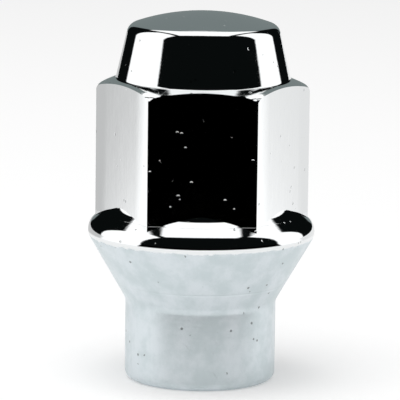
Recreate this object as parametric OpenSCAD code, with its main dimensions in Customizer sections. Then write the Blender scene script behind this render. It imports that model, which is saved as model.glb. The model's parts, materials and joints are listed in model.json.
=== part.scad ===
// Acorn lug nut: a closed hexagon nut with a domed crown, a bulged collar, a conical seat
// and a shank that runs into the wheel. It is one forged solid, drilled from the shank's end.
// The shank's end face lies on Z = 0, +Z runs up the axis to the crown, and one flat of the
// hexagon faces -Y.

/* [Thread] */
// Nominal diameter of the thread
thread_d = 12; // [10:0.5:14]
// Pitch of the thread, which with its diameter gives the tapping hole
thread_pitch = 1.5; // [1:0.25:2]
// How much wider than the thread the lead-in at the mouth is, on the diameter
lead_over = 0.6; // [0.2:0.1:1]
// Full angle of the lead-in
lead_angle = 90; // [80:5:120]
// Full angle of the drill's point at the blind end of the hole
point_angle = 118; // [110:1:140]
// Metal left between the full width of the hole and the top of the dome
roof = 8; // [6.5:0.5:14]

/* [Shank] */
// Wall of the shank outside the thread's nominal diameter
shank_wall = 1.75; // [1.4:0.05:2.5]
// Length of the shank up to the corner that it would make with the seat
shank_l = 8.3; // [4:0.1:12]
// Rounding between the shank's side and its end face
shank_edge_r = 0.8; // [0.4:0.1:1]
// Hollow rounding between the shank and the seat
shank_root_r = 1.5; // [0.5:0.1:2.5]

/* [Seat and collar] */
// Full angle of the conical seat
seat_angle = 60; // [55:1:70]
// How far the sharp corner of seat and collar would stand outside the hexagon's corners
rim_over = 1.1; // [0.8:0.05:2.5]
// Rounding of the rim between the seat and the collar
rim_r = 1.6; // [0.8:0.1:1.8]
// Fall of the collar's upper face, measured from level
collar_slope = 43; // [35:1:48]
// Hollow rounding between the collar and the flats
cove_r = 1.2; // [0.6:0.1:1.6]

/* [Hexagon] */
// Width across the flats, the size of the socket that turns the nut
hex_af = 19; // [17:0.5:22]
// Rise from the sharp corner of the rim to the foot of the crown
hex_l = 15.4; // [10:0.1:20]
// Rounding of the six upright edges
hex_edge_r = 0.3; // [0.2:0.05:0.6]

/* [Shoulder] */
// Fall of the shoulder from the crown outwards, measured from level
shoulder_slope = 23; // [15:1:30]
// Rounding where the shoulder turns down into the hexagon's corners
shoulder_r = 0.9; // [0.4:0.1:1.2]

/* [Crown] */
// How far the crown's foot stands inside the flats
crown_inset = 0.55; // [0.3:0.05:1]
// Rise from the foot of the crown to the top of the dome
crown_h = 6.8; // [5:0.1:9]
// Draft of the crown's side, measured from upright
crown_taper = 13; // [5:1:16]
// Hollow rounding at the crown's foot
crown_foot_r = 0.3; // [0.2:0.05:0.6]
// Rounding between the crown's side and the dome
crown_edge_r = 1.2; // [0.6:0.1:2]
// Radius of the dome
dome_r = 21.6; // [18:0.2:40]

/* [Hidden] */
$fn = 96;
// The hole's cutter starts this far below the end face that it opens
past = 1;
// The cove ends this far inside the flats, so that it dies away into them
cove_inset = 0.05;
// Every rounding is this much proud of its tangent point, so that its arc crosses the outline
blend = 0.0003;

apothem = hex_af / 2;
corner_x = apothem / cos(30);
shank_x = thread_d / 2 + shank_wall;
rim_x = corner_x + rim_over;
rim_z = shank_l + (rim_x - shank_x) / tan(seat_angle / 2);
cove_x = apothem - cove_inset;
cove_z = rim_z + (rim_x - cove_x) * tan(collar_slope);
crown_x = apothem - crown_inset;
crown_z = rim_z + hex_l;
shoulder_z = crown_z - (corner_x - crown_x) * tan(shoulder_slope);
nut_h = crown_z + crown_h;

// Unit vector from point a towards point b
function towards(a, b) = (b - a) / norm(b - a);

// A rounding of radius r, as its two tangent points and its centre: [[x, z], [x, z], [x, z]]
function corner_rounding(before, corner, after, r) =
    let (
        back = towards(corner, before),
        on = towards(corner, after),
        half_angle = acos(back * on) / 2,
        reach = r / tan(half_angle),
        centre = corner + (back + on) / norm(back + on) * r / sin(half_angle)
    )
    [corner + back * reach, corner + on * reach, centre];

// The same for the rounding between the crown's tapered side and the dome
function crown_rounding() =
    let (
        side = [-sin(crown_taper), cos(crown_taper)],
        outward = [cos(crown_taper), sin(crown_taper)],
        dome_centre = [0, nut_h - dome_r],
        start = [crown_x, crown_z] - outward * crown_edge_r - dome_centre,
        along = -start * side + sqrt(pow(start * side, 2) - start * start + pow(dome_r - crown_edge_r, 2)),
        centre = dome_centre + start + side * along
    )
    [centre + outward * crown_edge_r, dome_centre + towards(dome_centre, centre) * dome_r, centre];

module rounding_disc(arc, r) {
    translate(arc[2])
        circle(r = r + blend);
}

// Closed outline whose corners have the radii given: above zero for a convex corner,
// below zero for a hollow one and zero for a sharp one
module rounded_outline(corners, radii) {
    last = len(corners) - 1;
    arcs = [
        for (i = [0:last])
            let (before = corners[i == 0 ? last : i - 1], after = corners[i == last ? 0 : i + 1])
            corner_rounding(before, corners[i], after, abs(radii[i]))
    ];
    difference() {
        union() {
            polygon([for (i = [0:last]) each radii[i] == 0 ? [corners[i]] : [arcs[i][0], arcs[i][1]]]);
            for (i = [0:last])
                if (radii[i] > 0)
                    rounding_disc(arcs[i], radii[i]);
        }
        for (i = [0:last])
            if (radii[i] < 0)
                rounding_disc(arcs[i], -radii[i]);
    }
}

// Shank, seat, rim and collar, up to where the cove dies into the flats
module foot() {
    top = cove_z + 2 * cove_r;
    rotate_extrude()
        rounded_outline(
            [[0, 0], [shank_x, 0], [shank_x, shank_l], [rim_x, rim_z], [cove_x, cove_z], [cove_x, top], [0, top]],
            [0, shank_edge_r, -shank_root_r, rim_r, -cove_r, 0, 0]);
}

// Crown and shoulder, which trim the top of the hexagon
module head() {
    edge = crown_rounding();
    dome_foot = edge[1];
    rotate_extrude() {
        rounded_outline(
            [[0, rim_z], [corner_x, rim_z], [corner_x, shoulder_z], [crown_x, crown_z], edge[0], dome_foot,
             [0, dome_foot.y]],
            [0, 0, shoulder_r, -crown_foot_r, 0, 0, 0]);
        rounding_disc(edge, crown_edge_r);
        intersection() {
            translate([0, nut_h - dome_r])
                circle(r = dome_r);
            translate([0, dome_foot.y])
                square([dome_foot.x, dome_r]);
        }
    }
}

// Six flats with rounded upright edges
module hexagon() {
    linear_extrude(height = nut_h)
        rounded_outline(
            [for (i = [0:5]) corner_x * [cos(60 * i), sin(60 * i)]],
            [for (i = [0:5]) hex_edge_r]);
}

// Tapping hole with its lead-in and the blind end that a drill leaves
module hole() {
    hole_x = (thread_d - thread_pitch) / 2;
    lead_x = (thread_d + lead_over) / 2;
    lead_run = tan(lead_angle / 2);
    lead_z = (lead_x - hole_x) / lead_run;
    end_z = nut_h - roof;
    point_z = end_z + hole_x / tan(point_angle / 2);
    rotate_extrude()
        polygon([[0, -past], [lead_x + past * lead_run, -past], [hole_x, lead_z], [hole_x, end_z], [0, point_z]]);
}

module nut() {
    color("silver")
        difference() {
            union() {
                foot();
                intersection() {
                    hexagon();
                    head();
                }
            }
            hole();
        }
}

nut();
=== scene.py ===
"""Models the acorn lug nut with its thread and plated finish, in the studio that it is seen in."""

import json
import math

import bpy
from mathutils import Matrix, Vector


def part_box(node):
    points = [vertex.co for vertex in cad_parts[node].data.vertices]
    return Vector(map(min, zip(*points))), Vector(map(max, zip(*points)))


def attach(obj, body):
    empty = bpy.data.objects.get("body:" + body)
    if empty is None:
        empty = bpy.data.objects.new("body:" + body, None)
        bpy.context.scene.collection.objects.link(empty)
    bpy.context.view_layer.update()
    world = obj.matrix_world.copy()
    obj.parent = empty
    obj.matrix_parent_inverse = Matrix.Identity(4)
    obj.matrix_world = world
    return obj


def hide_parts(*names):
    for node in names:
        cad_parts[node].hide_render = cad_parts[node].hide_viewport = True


bl_info = {
    "name": "Acorn Lug Nut",
    "version": (1, 0, 0),
    "blender": (4, 5, 0),
    "location": "View3D > Sidebar > Lug Nut",
    "description": "Models a plated acorn lug nut with its thread, and the studio around it",
    "category": "Add Mesh",
}

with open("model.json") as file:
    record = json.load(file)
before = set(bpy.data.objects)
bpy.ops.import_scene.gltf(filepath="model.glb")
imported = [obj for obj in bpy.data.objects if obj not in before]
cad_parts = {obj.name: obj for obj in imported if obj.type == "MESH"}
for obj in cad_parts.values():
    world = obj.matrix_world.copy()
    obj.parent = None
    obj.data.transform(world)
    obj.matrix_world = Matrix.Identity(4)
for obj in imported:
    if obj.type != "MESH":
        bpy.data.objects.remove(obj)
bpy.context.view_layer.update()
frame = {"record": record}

MM = 0.001
MOUNTS = {mount["name"]: mount for mount in frame["record"]["mounts"]}
PILOT = MOUNTS["shank_pilot"]["dims"]
TAPPING_HOLE = MOUNTS["stud_thread"]["dims"]
# Closer together than this, two points of a mesh are one, in metres
SAME_POINT = 1e-6
# A cutter goes this far past the face that it opens
PAST = 1 * MM
# Half of the thread's full angle
THREAD_HALF_ANGLE = math.radians(30)
# How far the thread's groove starts inside the drilled hole, so that it opens into it
GROOVE_PAST = 0.25 * MM
# Faces that meet at less than this are shaded as one
SMOOTH_UP_TO = math.radians(24)

# Heights and depths of the plate's relief, in metres
BROAD_WAVES = 3.0e-6
MIRROR_MOTTLE = 1.6e-6
FLAT_STREAKS = 1.4e-6
CROWN_RINGS = 3.2e-6
SATIN_MOTTLE = 1.0e-5
SATIN_RINGS = 5.0e-6
SCRATCH_DEPTH = 6.0e-6
TOOL_RING_DEPTH = 1.6e-5
PIT_DEPTH = 2.0e-5
# Each flat is level this far either way from its middle, and falls by this times the square beyond it
LEVEL_HALF = 3.0 * MM
FALL_OFF = 9.0

# The tent in degrees. The side windows start and end this far round from the camera, on the left and
# on the right, and begin this far sideways of the upright plane through the camera and the nut
SIDE_START = (63.0, 83.0)
SIDE_END = (121.0, 124.0)
SIDE_INNER = (27.5, 30.5)
SIDE_EDGE = 1.5
# The top window and the grey cloth behind it, by how far they reach over the nut and sideways
TOP_START = (77.0, 81.0)
TOP_END = (130.0, 134.0)
TOP_OUTER = (21.5, 24.5)
BACK_OUTER = (18.0, 20.0)
# Where reflections of the lit table give way to a painted reflection that the table itself glows with, of
# the tent's windows and cloth beyond it
PAINTED_REFLECTION_START = 62 * MM
PAINTED_REFLECTION_FULL = 86 * MM
# Light of its own that the table adds for what is looked at, so that it comes out white
OWN_WHITE = 0.3


def length(name, description, default):
    return bpy.props.FloatProperty(
        name=name, description=description, default=default, min=0, unit="LENGTH", precision=5)


def angle(name, description, degrees):
    return bpy.props.FloatProperty(
        name=name, description=description, default=math.radians(degrees), subtype="ANGLE")


def colour(name, description, default):
    return bpy.props.FloatVectorProperty(
        name=name, description=description, default=default, subtype="COLOR", size=3, min=0, max=1)


def share(name, description, default, highest=1.0):
    return bpy.props.FloatProperty(
        name=name, description=description, default=default, min=0, max=highest)


class NutSizes(bpy.types.PropertyGroup):
    """The nut's own sizes."""

    height: length("Height", "From the shank's end to the top of the dome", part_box("nut")[1].z)
    across_flats: length(
        "Across flats", "Size of the socket that turns the nut", -2 * MOUNTS["wrench_flat"]["pos_m"][1])
    shank_r: length("Shank radius", "Radius of the shank", PILOT["r_mm"] * MM)
    shank_l: length("Shank", "Length up to the sharp corner with the seat", 8.3 * MM)
    shank_edge_r: length("Shank edge", "Rounding at the shank's end", 0.8 * MM)
    shank_root_r: length("Shank root", "Hollow rounding between shank and seat", 1.5 * MM)
    seat_slope: angle("Seat slope", "Slope of the seat from level", 60)
    rim_over: length("Rim over", "How far the sharp rim stands outside the corners", 1.1 * MM)
    rim_r: length("Rim rounding", "Rounding of the rim", 1.6 * MM)
    collar_slope: angle("Collar slope", "Fall of the collar's upper face", 43)
    cove_r: length("Cove", "Hollow rounding between collar and flats", 1.2 * MM)
    cove_inset: length("Cove inset", "How far inside the flats the cove ends", 0.05 * MM)
    hex_l: length("Hexagon", "Rise from the sharp rim to the crown's foot", 15.4 * MM)
    hex_edge_r: length("Hexagon edge", "Rounding of the six upright edges", 0.3 * MM)
    shoulder_slope: angle("Shoulder slope", "Fall of the shoulder", 23)
    shoulder_r: length("Shoulder rounding", "Rounding down into the corners", 0.9 * MM)
    crown_inset: length("Crown inset", "How far the crown stands inside the flats", 0.55 * MM)
    crown_h: length("Crown", "Rise from the crown's foot to the top", 6.8 * MM)
    crown_taper: angle("Crown taper", "Draft of the crown's side", 13)
    crown_foot_r: length("Crown foot", "Hollow rounding at the crown's foot", 0.3 * MM)
    crown_edge_r: length("Crown edge", "Rounding between side and dome", 1.2 * MM)
    dome_r: length("Dome", "Radius of the dome", 21.6 * MM)


class ThreadSizes(bpy.types.PropertyGroup):
    """The hole and the thread that is cut in it."""

    thread_d: length("Thread", "Nominal diameter of the thread", 12 * MM)
    pitch: length("Pitch", "Rise of one turn", 1.5 * MM)
    lead_over: length("Lead-in", "How much wider the mouth is, on the diameter", 0.6 * MM)
    hole_r: length("Tapping hole", "Radius of the drilled hole", TAPPING_HOLE["r_mm"] * MM)
    hole_l: length(
        "Hole length", "Full width of the hole, behind the lead-in", TAPPING_HOLE["length_mm"] * MM)
    full_thread_l: length("Full thread", "Depth down to which the thread is full", 25 * MM)
    run_out_l: length("Run-out", "Length over which the tap's taper leaves off", 3.2 * MM)
    point_angle: angle("Point", "Full angle of the drill's point at the blind end", 118)


def rounding_offsets(corner_from, corner, corner_to, radius):
    """Where a rounding starts, where it ends and its centre, all counted from its sharp corner."""
    back = (corner_from - corner).normalized()
    on = (corner_to - corner).normalized()
    half = back.angle(on) / 2
    reach = radius / math.tan(half)
    return back * reach, on * reach, (back + on).normalized() * radius / math.sin(half)


def arc(centre, start, end, steps):
    """Points from start to end on a circle round centre, by the shorter way."""
    first, last = start - centre, end - centre
    turn = math.atan2(first.x * last.y - first.y * last.x, first.dot(last))
    return [
        centre + Matrix.Rotation(turn * step / steps, 2) @ first
        for step in range(steps + 1)
    ]


def rounded(corners, steps=10):
    """Outline through corners of (x, z, radius), each rounded unless its radius is 0."""
    points = [Vector(corner[:2]) for corner in corners]
    outline = []
    for index, (x, z, radius) in enumerate(corners):
        corner = points[index]
        if radius == 0:
            outline.append(corner)
            continue
        start, end, centre = rounding_offsets(points[index - 1], corner, points[index + 1], radius)
        outline += arc(corner + centre, corner + start, corner + end, steps)
    return outline


def deselect():
    bpy.ops.object.select_all(action="DESELECT")


def activate(piece):
    deselect()
    piece.select_set(True)
    bpy.context.view_layer.objects.active = piece


def turned(name, outline, steps=192):
    """Solid of revolution: the outline is drawn from the axis back to the axis and spun about Z."""
    deselect()
    bpy.ops.mesh.primitive_plane_add(size=MM)
    piece = bpy.context.object
    piece.name = name
    bpy.ops.object.mode_set(mode="EDIT")
    bpy.ops.mesh.merge(type="CENTER")
    bpy.ops.transform.translate(value=(outline[0].x, 0, outline[0].y))
    for here, there in zip(outline, outline[1:]):
        step = (there.x - here.x, 0, there.y - here.y)
        bpy.ops.mesh.extrude_region_move(TRANSFORM_OT_translate={"value": step})
    bpy.ops.mesh.select_all(action="SELECT")
    bpy.ops.mesh.spin(steps=steps, angle=2 * math.pi, center=(0, 0, 0), axis=(0, 0, 1))
    bpy.ops.mesh.select_all(action="SELECT")
    bpy.ops.mesh.remove_doubles(threshold=SAME_POINT)
    bpy.ops.mesh.normals_make_consistent(inside=False)
    bpy.ops.object.mode_set(mode="OBJECT")
    return piece


def combine(piece, other, operation):
    """Joins, cuts or trims piece by other, and does away with other."""
    activate(piece)
    boolean = piece.modifiers.new(operation.title(), "BOOLEAN")
    boolean.operation = operation
    boolean.solver = "EXACT"
    boolean.object = other
    bpy.ops.object.modifier_apply(modifier=boolean.name)
    bpy.data.objects.remove(other, do_unlink=True)


class NutShape:
    """The lengths that follow from the nut's sizes."""

    def __init__(self, sizes):
        self.apothem = sizes.across_flats / 2
        self.corner_x = self.apothem / math.cos(math.radians(30))
        self.rim_x = self.corner_x + sizes.rim_over
        self.rim_z = sizes.shank_l + (self.rim_x - sizes.shank_r) * math.tan(sizes.seat_slope)
        self.cove_x = self.apothem - sizes.cove_inset
        self.cove_z = self.rim_z + (self.rim_x - self.cove_x) * math.tan(sizes.collar_slope)
        self.crown_x = self.apothem - sizes.crown_inset
        self.crown_z = sizes.height - sizes.crown_h
        self.shoulder_z = self.crown_z - (self.corner_x - self.crown_x) * math.tan(sizes.shoulder_slope)


def foot_solid(sizes, shape):
    """Shank, seat, rim and collar, up to where the cove dies into the flats."""
    top = shape.cove_z + 2 * sizes.cove_r
    return turned("foot", rounded([
        (0, 0, 0),
        (sizes.shank_r, 0, sizes.shank_edge_r),
        (sizes.shank_r, sizes.shank_l, sizes.shank_root_r),
        (shape.rim_x, shape.rim_z, sizes.rim_r),
        (shape.cove_x, shape.cove_z, sizes.cove_r),
        (shape.cove_x, top, 0),
        (0, top, 0),
    ]))


def head_solid(sizes, shape):
    """Crown and shoulder, which trim the top of the hexagon."""
    taper = sizes.crown_taper
    up_side = Vector((-math.sin(taper), math.cos(taper)))
    outward = Vector((math.cos(taper), math.sin(taper)))
    dome_centre = Vector((0, sizes.height - sizes.dome_r))
    start = Vector((shape.crown_x, shape.crown_z)) - outward * sizes.crown_edge_r - dome_centre
    reach = sizes.dome_r - sizes.crown_edge_r
    along = -start.dot(up_side) + math.sqrt(start.dot(up_side) ** 2 - start.length_squared + reach**2)
    edge_centre = dome_centre + start + up_side * along
    side_end = edge_centre + outward * sizes.crown_edge_r
    dome_foot = dome_centre + (edge_centre - dome_centre).normalized() * sizes.dome_r
    top = Vector((0, sizes.height))
    lower = rounded([
        (0, shape.rim_z, 0),
        (shape.corner_x, shape.rim_z, 0),
        (shape.corner_x, shape.shoulder_z, sizes.shoulder_r),
        (shape.crown_x, shape.crown_z, sizes.crown_foot_r),
        (side_end.x, side_end.y, 0),
    ])
    edge = arc(edge_centre, side_end, dome_foot, 12)
    dome = arc(dome_centre, dome_foot, top, 24)
    return turned("head", lower[:-1] + edge[:-1] + dome)


def hexagon_solid(sizes, shape):
    """Bar with six flats, one of them facing the front, and rounded upright edges."""
    middle = (shape.rim_z + sizes.height) / 2
    deselect()
    bpy.ops.mesh.primitive_cylinder_add(
        vertices=6, radius=shape.corner_x, depth=sizes.height - shape.rim_z + 2 * PAST,
        location=(0, 0, middle), rotation=(0, 0, math.radians(30)))
    bar = bpy.context.object
    bar.name = "hexagon"
    bpy.ops.object.transform_apply(location=True, rotation=True, scale=True)
    bpy.ops.object.mode_set(mode="EDIT")
    bpy.ops.mesh.select_all(action="DESELECT")
    bpy.ops.object.mode_set(mode="OBJECT")
    heights = [vertex.co.z for vertex in bar.data.vertices]
    for edge in bar.data.edges:
        low, high = sorted(heights[vertex] for vertex in edge.vertices)
        edge.select = high - low > MM
    bpy.ops.object.mode_set(mode="EDIT")
    bpy.ops.mesh.select_mode(type="EDGE")
    bpy.ops.mesh.bevel(
        offset=sizes.hex_edge_r / math.tan(math.radians(60)), offset_type="OFFSET", segments=6, profile=0.5)
    bpy.ops.mesh.select_mode(type="VERT")
    bpy.ops.object.mode_set(mode="OBJECT")
    return bar


def hole_solid(sizes, thread):
    """Drilled hole with its lead-in and the blind end that the drill's point leaves."""
    mouth_r = (thread.thread_d + thread.lead_over) / 2
    lead_z = mouth_r - thread.hole_r
    end_z = lead_z + thread.hole_l
    point_z = end_z + thread.hole_r / math.tan(thread.point_angle / 2)
    return turned("hole", [
        Vector((0, -PAST)),
        Vector((mouth_r + PAST, -PAST)),
        Vector((thread.hole_r, lead_z)),
        Vector((thread.hole_r, end_z)),
        Vector((0, point_z)),
    ], steps=96)


def thread_groove(thread):
    """The groove between the thread's crests, wound up the hole and faded out by the tap's taper."""
    major_r = thread.thread_d / 2
    inner_r = thread.hole_r - GROOVE_PAST
    root_half = thread.pitch / 16
    mouth_half = root_half + (major_r - inner_r) * math.tan(THREAD_HALF_ANGLE)
    start_z = -2 * thread.pitch
    deselect()
    bpy.ops.mesh.primitive_plane_add(size=1)
    groove = bpy.context.object
    groove.name = "groove"
    bpy.ops.object.mode_set(mode="EDIT")
    bpy.ops.transform.rotate(value=math.pi / 2, orient_axis="X", center_override=(0, 0, 0))
    bpy.ops.transform.resize(value=(major_r - inner_r, 1, 2 * mouth_half), center_override=(0, 0, 0))
    bpy.ops.transform.translate(value=((major_r + inner_r) / 2, 0, start_z))
    bpy.ops.mesh.select_all(action="DESELECT")
    bpy.ops.object.mode_set(mode="OBJECT")
    for vertex in groove.data.vertices:
        vertex.select = vertex.co.x > (major_r + inner_r) / 2
    bpy.ops.object.mode_set(mode="EDIT")
    bpy.ops.transform.resize(value=(1, 1, root_half / mouth_half), center_override=(major_r, 0, start_z))
    bpy.ops.mesh.select_all(action="SELECT")
    bpy.ops.mesh.delete(type="ONLY_FACE")
    bpy.ops.object.mode_set(mode="OBJECT")
    end_z = thread.full_thread_l + thread.run_out_l + thread.pitch
    winding = groove.modifiers.new("Winding", "SCREW")
    winding.axis = "Z"
    winding.screw_offset = thread.pitch
    winding.iterations = math.ceil((end_z - start_z) / thread.pitch)
    winding.steps = winding.render_steps = 48
    winding.use_merge_vertices = False
    bpy.ops.object.modifier_apply(modifier=winding.name)
    bpy.ops.object.mode_set(mode="EDIT")
    bpy.ops.mesh.select_all(action="SELECT")
    bpy.ops.mesh.fill_holes(sides=4)
    bpy.ops.mesh.select_all(action="SELECT")
    bpy.ops.mesh.normals_make_consistent(inside=False)
    bpy.ops.object.mode_set(mode="OBJECT")
    tap_end = thread.full_thread_l + thread.run_out_l
    tap = turned("tap", [
        Vector((0, -PAST)),
        Vector((major_r + PAST, -PAST)),
        Vector((major_r + PAST, thread.full_thread_l)),
        Vector((major_r, thread.full_thread_l)),
        Vector((inner_r, tap_end)),
        Vector((0, tap_end)),
    ], steps=96)
    combine(groove, tap, "INTERSECT")
    return groove


def smooth(piece):
    """Smooth shading that keeps the flats flat and the sharp edges sharp."""
    activate(piece)
    bpy.ops.object.shade_smooth_by_angle(angle=SMOOTH_UP_TO, keep_sharp_edges=False)
    weighted = piece.modifiers.new("Flat flats", "WEIGHTED_NORMAL")
    weighted.mode = "FACE_AREA"
    weighted.keep_sharp = True
    bpy.ops.object.modifier_apply(modifier=weighted.name)


class Wire:
    """An output in a material. Maths on it, written as on a number, adds the Math nodes."""

    def __init__(self, finish, socket):
        self.finish = finish
        self.socket = socket

    def maths(self, operation, *values):
        sockets = dict(enumerate(values))
        return self.finish.node("ShaderNodeMath", {"operation": operation}, sockets)

    def __add__(self, other):
        return self.maths("ADD", self, other)

    def __sub__(self, other):
        return self.maths("SUBTRACT", self, other)

    def __mul__(self, other):
        return self.maths("MULTIPLY", self, other)

    def __pow__(self, other):
        return self.maths("POWER", self, other)

    def __neg__(self):
        return self.maths("MULTIPLY", self, -1)

    def __abs__(self):
        return self.maths("ABSOLUTE", self)

    def __gt__(self, other):
        return self.maths("GREATER_THAN", self, other)

    def __lt__(self, other):
        return self.maths("LESS_THAN", self, other)

    def __radd__(self, other):
        return self.maths("ADD", other, self)

    def __rsub__(self, other):
        return self.maths("SUBTRACT", other, self)


class Finish:
    """A material that is built node by node."""

    def __init__(self, name):
        self.material = bpy.data.materials.new(name)
        self.material.use_nodes = True
        self.tree = self.material.node_tree
        self.tree.nodes.clear()

    def node(self, kind, settings=None, sockets=None, output=0):
        """Adds a node. Its settings are set first, then the values or wires of its sockets."""
        made = self.tree.nodes.new(kind)
        for setting, value in (settings or {}).items():
            if setting == "stops":
                self.set_stops(made.color_ramp, value)
            else:
                setattr(made, setting, value)
        for key, value in (sockets or {}).items():
            if isinstance(value, Wire):
                self.tree.links.new(value.socket, made.inputs[key])
            else:
                made.inputs[key].default_value = value
        return Wire(self, made.outputs[output]) if len(made.outputs) else made

    @staticmethod
    def set_stops(ramp, stops):
        """Gives a ramp its stops of (place, colour)."""
        while len(ramp.elements) < len(stops):
            ramp.elements.new(1)
        for element, (place, shade) in zip(ramp.elements, stops):
            element.position = place
            element.color = (*shade, 1)

    def place(self):
        """Where a point of the surface is, in the object's own metres, as a vector."""
        return self.node("ShaderNodeTexCoord", output="Object")

    @staticmethod
    def maths_on(first, operation, *others):
        """Maths that has no operator of its own, on a wire."""
        return first.maths(operation, first, *others)

    def axes(self, vector):
        separate = self.node("ShaderNodeSeparateXYZ", sockets={0: vector})
        outputs = separate.socket.node.outputs
        return [Wire(self, outputs[axis]) for axis in "XYZ"]

    def stretched(self, vector, scale, turn=(0, 0, 0)):
        """The vector turned and then scaled on each axis, so that a pattern runs along one of them."""
        settings = {"vector_type": "POINT"}
        turned_first = self.node("ShaderNodeMapping", settings, {"Vector": vector, "Rotation": turn})
        return self.node("ShaderNodeMapping", settings, {"Vector": turned_first, "Scale": scale})

    def noise(self, vector, grain, detail=2.0, roughness=0.5):
        """Noise from 0 to 1, whose patches are about grain metres across."""
        return self.node("ShaderNodeTexNoise", {"normalize": True}, {
            "Vector": vector, "Scale": 1 / grain, "Detail": detail, "Roughness": roughness})

    def cells(self, vector, grain, output="Distance"):
        """Distance to the middle of the nearest cell, or its own colour, with cells grain metres across."""
        return self.node("ShaderNodeTexVoronoi", {"feature": "F1"}, {
            "Vector": vector, "Scale": 1 / grain}, output)

    def ramp(self, value, start, end, low=0.0, high=1.0):
        """low below start, high above end, and a soft step between."""
        return self.node("ShaderNodeMapRange", {"interpolation_type": "SMOOTHSTEP"}, {
            "Value": value, "From Min": start, "From Max": end, "To Min": low, "To Max": high})

    @staticmethod
    def blend(mask, first, second):
        """first where the mask is 0 and second where it is 1, as numbers."""
        return first + mask * (second - first)

    def mix(self, mask, first, second, way="MIX"):
        """first where the mask is 0 and second where it is 1, as colours."""
        return self.node(
            "ShaderNodeMix", {"data_type": "RGBA", "blend_type": way},
            {0: mask, 6: self.shade(first), 7: self.shade(second)}, 2)

    @staticmethod
    def shade(value):
        return value if isinstance(value, Wire) else (*value, 1)

    def surface(self, shader):
        self.node("ShaderNodeOutputMaterial", sockets={"Surface": shader})
        return self.material


class PlateLook(bpy.types.PropertyGroup):
    """Colours and roughness of the plating."""

    mirror: colour("Mirror plate", "Plate on the crown, flats and collar", (0.82, 0.835, 0.84))
    satin: colour("Satin plate", "Plate on the seat and shank", (0.70, 0.755, 0.785))
    satin_shade: colour("Satin shade", "Duller patches of the satin plate", (0.60, 0.67, 0.69))
    pit: colour("Pits", "Bottom of the pits in the plate", (0.20, 0.22, 0.22))
    hole: colour("Hole", "Oiled steel inside the hole", (0.36, 0.35, 0.34))
    mirror_rough: share("Mirror roughness", "Roughness of the mirror plate", 0.04)
    satin_rough: share("Satin roughness", "Roughness of the satin plate", 0.36)
    hole_rough: share("Hole roughness", "Roughness of the steel in the hole", 0.34)
    satin_z: length("Satin line", "Height up to which the plate is satin", 15.0 * MM)
    tool_ring_z: length("Tool ring", "Height of the ring that the tool left on the seat", 10.2 * MM)


def plate_finish(look, sizes, thread):
    """Mirror plate down to the rim, satin plate on the seat and shank, and oiled steel in the hole."""
    shape = NutShape(sizes)
    plate = Finish("chrome_plate")
    place = plate.place()
    x, y, z = plate.axes(place)
    radius = (x * x + y * y) ** 0.5

    mouth_r = (thread.thread_d + thread.lead_over) / 2
    in_hole = (radius < mouth_r + 0.05 * MM) * (z < sizes.height - 4 * MM)
    satin_edge = z + (plate.noise(place, 0.8 * MM, 3.0) - 0.5) * (0.5 * MM)
    satin = plate.ramp(satin_edge, look.satin_z + 0.12 * MM, look.satin_z - 0.12 * MM)

    round_the_axis = plate.stretched(place, (0.12, 0.12, 1))
    up_the_axis = plate.stretched(place, (1, 1, 0.12))
    slanting = plate.stretched(place, (1, 1, 0.06), (0, math.radians(35), 0))

    patches = plate.noise(place, 2.4 * MM, 4.0, 0.6)
    mottle = plate.noise(place, 0.35 * MM, 3.0, 0.6)
    streaks = plate.noise(up_the_axis, 0.35 * MM, 3.0, 0.6)
    rings = plate.noise(round_the_axis, 0.28 * MM, 3.0, 0.6)
    scratches = plate.ramp(plate.noise(slanting, 0.22 * MM, 1.0), 0.68, 0.76)

    pit_distance = plate.cells(place, 1.1 * MM)
    pit_choice = plate.noise(place, 1.7 * MM, 0.0)
    pits = plate.ramp(pit_distance, 0.16, 0.09) * (pit_choice > 0.55)

    flat_angle = plate.maths_on(y, "ARCTAN2", x) + math.pi / 2
    from_middle = plate.maths_on(flat_angle, "WRAP", math.pi / 6, -math.pi / 6)
    along_flat = abs(plate.maths_on(from_middle, "SINE")) * radius
    roll_off = plate.maths_on(along_flat - LEVEL_HALF, "MAXIMUM", 0)
    on_flats = (z > shape.rim_z + 1.6 * MM) * (z < shape.shoulder_z + 0.4 * MM)
    on_crown = z > shape.crown_z
    pillow = roll_off * roll_off * on_flats * -FALL_OFF

    ring_distance = abs(z - look.tool_ring_z)
    tool_ring = plate.ramp(ring_distance, 0.16 * MM, 0.02 * MM)

    mirror_height = (
        plate.noise(place, 1.6 * MM, 1.0) * BROAD_WAVES
        + mottle * MIRROR_MOTTLE
        + streaks * on_flats * FLAT_STREAKS
        + rings * on_crown * CROWN_RINGS
        + pillow
    )
    satin_height = (
        mottle * SATIN_MOTTLE
        + rings * SATIN_RINGS
        - scratches * SCRATCH_DEPTH
        - tool_ring * TOOL_RING_DEPTH
    )
    height = plate.blend(satin, mirror_height, satin_height) - pits * PIT_DEPTH
    relief = plate.node("ShaderNodeBump", {}, {"Strength": 1.0, "Distance": 1.0, "Height": height})

    satin_colour = plate.mix(plate.ramp(patches, 0.35, 0.65), look.satin, look.satin_shade)
    satin_colour = plate.mix(plate.ramp(streaks, 0.4, 0.8) * 0.25, satin_colour, look.satin_shade)
    base = plate.mix(satin, look.mirror, satin_colour)
    base = plate.mix(pits * plate.blend(satin, 0.4, 0.8), base, look.pit)
    base = plate.mix(in_hole, base, look.hole)
    mirror_rough = look.mirror_rough + plate.ramp(patches, 0.5, 0.75) * 0.03
    satin_rough = look.satin_rough + (mottle - 0.5) * 0.14 + scratches * 0.1
    rough = plate.blend(satin, mirror_rough, satin_rough)
    rough = plate.blend(in_hole, rough, look.hole_rough)
    return plate.surface(plate.node("ShaderNodeBsdfPrincipled", {}, {
        "Base Color": base, "Metallic": 1.0, "Roughness": rough, "Normal": relief}))


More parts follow.
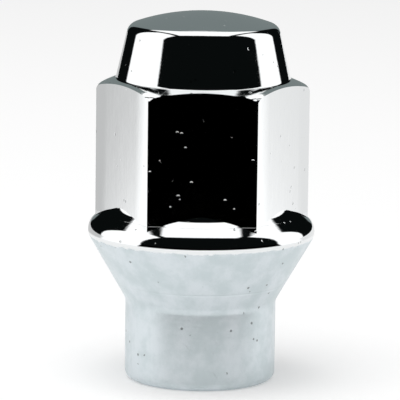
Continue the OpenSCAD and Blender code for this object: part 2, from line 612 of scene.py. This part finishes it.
class StudioLook(bpy.types.PropertyGroup):
    """The camera, the table and the light tent."""

    elevation: angle("Elevation", "How steeply the camera looks down", 9.99)
    roll: angle("Roll", "How far the camera is turned about its own view", 0.72)
    distance: length("Distance", "From the camera to the nut's axis", 370 * MM)
    aim_z: length("Aim", "Height of the point on the axis that the camera looks at", 18.5 * MM)
    aim_left: length("Aim left", "How far left of the axis the camera looks", 0.176 * MM)
    view: angle("View", "Width of the camera's view", 6.36)
    table: colour("Table", "Pale table top", (0.80, 0.80, 0.80))
    window_light: share("Windows", "Brightness of the tent's side windows", 1.25, 4.0)
    top_light: share("Top window", "Brightness of the tent's top window", 1.25, 4.0)
    back_cloth: colour("Back cloth", "Grey cloth behind the nut", (0.20, 0.235, 0.235))
    black_cloth: colour("Black cloth", "Black cloth between the windows", (0.003, 0.004, 0.004))
    lamp_power: bpy.props.FloatProperty(
        name="Lamp", description="Power of the soft lamp over the table", default=2.0, min=0, unit="POWER")
    room_light: share("Room", "Light that the room gives from all round", 0.5, 4.0)


def degrees_of(radians):
    """An angle that a material works out, turned from radians to degrees."""
    return radians * (180 / math.pi)


def window_level(finish, place):
    """Masks of the side windows, the top window and the cloth behind, for a point seen from the nut.

    They come with how far round from the camera the point lies, and with 1 where it is on the right.
    """
    direction = finish.node("ShaderNodeVectorMath", {"operation": "NORMALIZE"}, {0: place})
    x, y, z = finish.axes(direction)
    azimuth = degrees_of(finish.maths_on(x, "ARCTAN2", -y))
    turn = abs(azimuth)
    right = azimuth > 0
    inner = finish.blend(right, *SIDE_START)
    outer = finish.blend(right, *SIDE_END)
    sideways = abs(degrees_of(finish.maths_on(x, "ARCSINE")))
    side = (
        finish.ramp(turn - inner, -SIDE_EDGE, SIDE_EDGE)
        * finish.ramp(turn - outer, SIDE_EDGE, -SIDE_EDGE)
        * finish.ramp(sideways, *SIDE_INNER)
    )
    over = degrees_of(finish.maths_on(z, "ARCTAN2", -y))
    top = (
        finish.ramp(over, *TOP_START)
        * finish.ramp(over, *reversed(TOP_END))
        * finish.ramp(sideways, *reversed(TOP_OUTER))
    )
    back = finish.ramp(over, *TOP_END) * finish.ramp(sideways, *reversed(BACK_OUTER))
    return side, top, back, turn, right


def tent_finish(studio):
    """White windows at the sides and overhead, grey cloth behind and black cloth between them."""
    tent = Finish("light_tent")
    side, top, back, _, _ = window_level(tent, tent.place())
    black = studio.black_cloth
    cloth = tent.mix(back, black, studio.back_cloth)
    cloth = tent.mix(side, cloth, [studio.window_light] * 3)
    cloth = tent.mix(top, cloth, [studio.top_light] * 3)
    return tent.surface(tent.node("ShaderNodeEmission", {}, {"Color": cloth, "Strength": 1.0}))


def table_finish(studio):
    """Pale table that is white in the picture but for the nut's shadow. Further out, in reflections only,
    it glows with a painted reflection: the side windows' glow, painted grey behind, and painted black in
    front.
    """
    table = Finish("pale_table")
    place = table.place()
    x, y, _ = table.axes(place)
    grain = table.noise(place, 1.2 * MM, 3.0)
    relief = table.node("ShaderNodeBump", {}, {"Strength": 0.2, "Distance": 0.00005, "Height": grain})
    lit = table.node("ShaderNodeBsdfPrincipled", {}, {
        "Base Color": (*studio.table, 1), "Roughness": 0.85, "Specular IOR Level": 0.0, "Normal": relief})
    ray = table.node("ShaderNodeLightPath", output="Is Camera Ray")
    glossy = Wire(table, ray.socket.node.outputs["Is Glossy Ray"])
    through = Wire(table, ray.socket.node.outputs["Is Transmission Ray"])
    seen = table.maths_on(ray + glossy + through, "MINIMUM", 1)
    own = table.node("ShaderNodeEmission", {}, {"Color": seen * OWN_WHITE, "Strength": 1.0})
    white = table.node("ShaderNodeAddShader", {}, {0: lit, 1: own})

    # Painted reflection, for glossy rays only: painted black in front, the side windows' glow beside the
    # nut, and painted grey behind, darker on the left (0.62) than on the right (0.9)
    _, _, _, turn, right = window_level(table, place)
    inner = table.blend(right, *SIDE_START)
    behind = table.blend(right, 0.62, 0.9)
    level = table.ramp(turn, 112.0, 121.0)
    level = table.blend(level, studio.window_light, behind)
    level = level * table.ramp(turn - inner, -SIDE_EDGE, SIDE_EDGE)
    distance = (x * x + y * y) ** 0.5
    # Mask of the painted reflection: 0 near the nut, where reflections show the lit table and its shadow,
    # rising to 1 further out
    far = table.ramp(distance, PAINTED_REFLECTION_START, PAINTED_REFLECTION_FULL)
    # The painted reflection is an emission, a glow that no lamp gives
    painted_reflection = table.node("ShaderNodeEmission", {}, {"Color": level, "Strength": 1.0})
    return table.surface(table.node("ShaderNodeMixShader", {}, {0: glossy * far, 1: white, 2: painted_reflection}))


def room_light(strength):
    """White behind everything that is looked at, and a plain light from all round."""
    world = bpy.data.worlds.new("studio_room")
    bpy.context.scene.world = world
    world.use_nodes = True
    nodes, links = world.node_tree.nodes, world.node_tree.links
    background = nodes["Background"]
    ray = nodes.new("ShaderNodeLightPath")
    seen = ray.outputs["Is Camera Ray"]
    for way in ("Is Glossy Ray", "Is Transmission Ray"):
        either = nodes.new("ShaderNodeMath")
        either.operation = "MAXIMUM"
        links.new(seen, either.inputs[0])
        links.new(ray.outputs[way], either.inputs[1])
        seen = either.outputs[0]
    level = nodes.new("ShaderNodeMapRange")
    level.inputs["To Min"].default_value = strength
    level.inputs["To Max"].default_value = 1.0
    links.new(seen, level.inputs["Value"])
    links.new(level.outputs["Result"], background.inputs["Strength"])
    background.inputs["Color"].default_value = (1, 1, 1, 1)


class LUGNUT_OT_nut(bpy.types.Operator):
    """Model the nut, cut its thread and plate it"""

    bl_idname = "lugnut.nut"
    bl_label = "Model the Nut"
    bl_options = {"REGISTER", "UNDO"}

    def execute(self, context):
        sizes = context.scene.lug_nut_sizes
        thread = context.scene.lug_nut_thread
        shape = NutShape(sizes)
        nut = hexagon_solid(sizes, shape)
        combine(nut, head_solid(sizes, shape), "INTERSECT")
        combine(nut, foot_solid(sizes, shape), "UNION")
        combine(nut, hole_solid(sizes, thread), "DIFFERENCE")
        combine(nut, thread_groove(thread), "DIFFERENCE")
        if not nut.data.polygons:
            raise RuntimeError("the nut's solids didn't combine")
        smooth(nut)
        nut.name = nut.data.name = "acorn_nut"
        nut.data.materials.clear()
        nut.data.materials.append(plate_finish(context.scene.lug_nut_look, sizes, thread))
        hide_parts("nut")
        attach(nut, "root")
        return {"FINISHED"}


class LUGNUT_OT_studio(bpy.types.Operator):
    """Set up the table, the light tent, the lamp and the camera"""

    bl_idname = "lugnut.studio"
    bl_label = "Set Up the Studio"
    bl_options = {"REGISTER", "UNDO"}

    def execute(self, context):
        studio = context.scene.lug_nut_studio
        deselect()
        bpy.ops.mesh.primitive_circle_add(vertices=96, radius=3.0, fill_type="NGON")
        table = context.object
        table.name = "table"
        table.data.materials.append(table_finish(studio))
        deselect()
        bpy.ops.mesh.primitive_uv_sphere_add(segments=96, ring_count=48, radius=0.7)
        tent = context.object
        tent.name = "light_tent"
        bpy.ops.object.mode_set(mode="EDIT")
        bpy.ops.mesh.select_all(action="SELECT")
        bpy.ops.mesh.bisect(plane_co=(0, 0, -0.001), plane_no=(0, 0, 1), clear_inner=True)
        bpy.ops.object.mode_set(mode="OBJECT")
        tent.data.materials.append(tent_finish(studio))
        tent.visible_camera = False
        tent.visible_diffuse = False
        tent.visible_transmission = False
        tent.visible_shadow = False
        room_light(studio.room_light)
        bpy.ops.object.light_add(type="AREA", radius=0.5, location=(-0.08, -0.12, 0.6))
        lamp = context.object
        lamp.name = "soft_lamp"
        lamp.data.energy = studio.lamp_power
        lamp.visible_glossy = False
        lamp.visible_camera = False
        lamp.rotation_euler = Vector(lamp.location).to_track_quat("Z", "Y").to_euler()
        aim = Vector((-studio.aim_left, 0, studio.aim_z))
        away = Vector((0, -math.cos(studio.elevation), math.sin(studio.elevation)))
        bpy.ops.object.camera_add(location=aim + away * studio.distance)
        camera = context.object
        camera.name = "camera"
        camera.data.angle = studio.view
        camera.data.clip_start = 0.01
        turn = Matrix.Rotation(math.pi / 2 - studio.elevation, 4, "X")
        turn = turn @ Matrix.Rotation(studio.roll, 4, "Z")
        camera.matrix_world = Matrix.Translation(camera.location) @ turn
        context.scene.camera = camera
        context.scene.view_settings.view_transform = "Standard"
        return {"FINISHED"}


class LUGNUT_PT_panel(bpy.types.Panel):
    """Sizes, looks and the two steps"""

    bl_idname = "LUGNUT_PT_panel"
    bl_label = "Acorn Lug Nut"
    bl_space_type = "VIEW_3D"
    bl_region_type = "UI"
    bl_category = "Lug Nut"

    def draw(self, context):
        scene = context.scene
        column = self.layout.column()
        column.operator(LUGNUT_OT_nut.bl_idname)
        column.operator(LUGNUT_OT_studio.bl_idname)
        for group in (scene.lug_nut_sizes, scene.lug_nut_thread, scene.lug_nut_look, scene.lug_nut_studio):
            box = column.box()
            for name in group.__annotations__:
                box.prop(group, name)


GROUPS = {
    "lug_nut_sizes": NutSizes,
    "lug_nut_thread": ThreadSizes,
    "lug_nut_look": PlateLook,
    "lug_nut_studio": StudioLook,
}
CLASSES = (*GROUPS.values(), LUGNUT_OT_nut, LUGNUT_OT_studio, LUGNUT_PT_panel)


def register():
    for made in CLASSES:
        bpy.utils.register_class(made)
    for name, group in GROUPS.items():
        setattr(bpy.types.Scene, name, bpy.props.PointerProperty(type=group))


def unregister():
    for name in GROUPS:
        delattr(bpy.types.Scene, name)
    for made in reversed(CLASSES):
        bpy.utils.unregister_class(made)


def main():
    register()
    bpy.ops.lugnut.nut()
    bpy.ops.lugnut.studio()


if __name__ == "__main__":
    main()
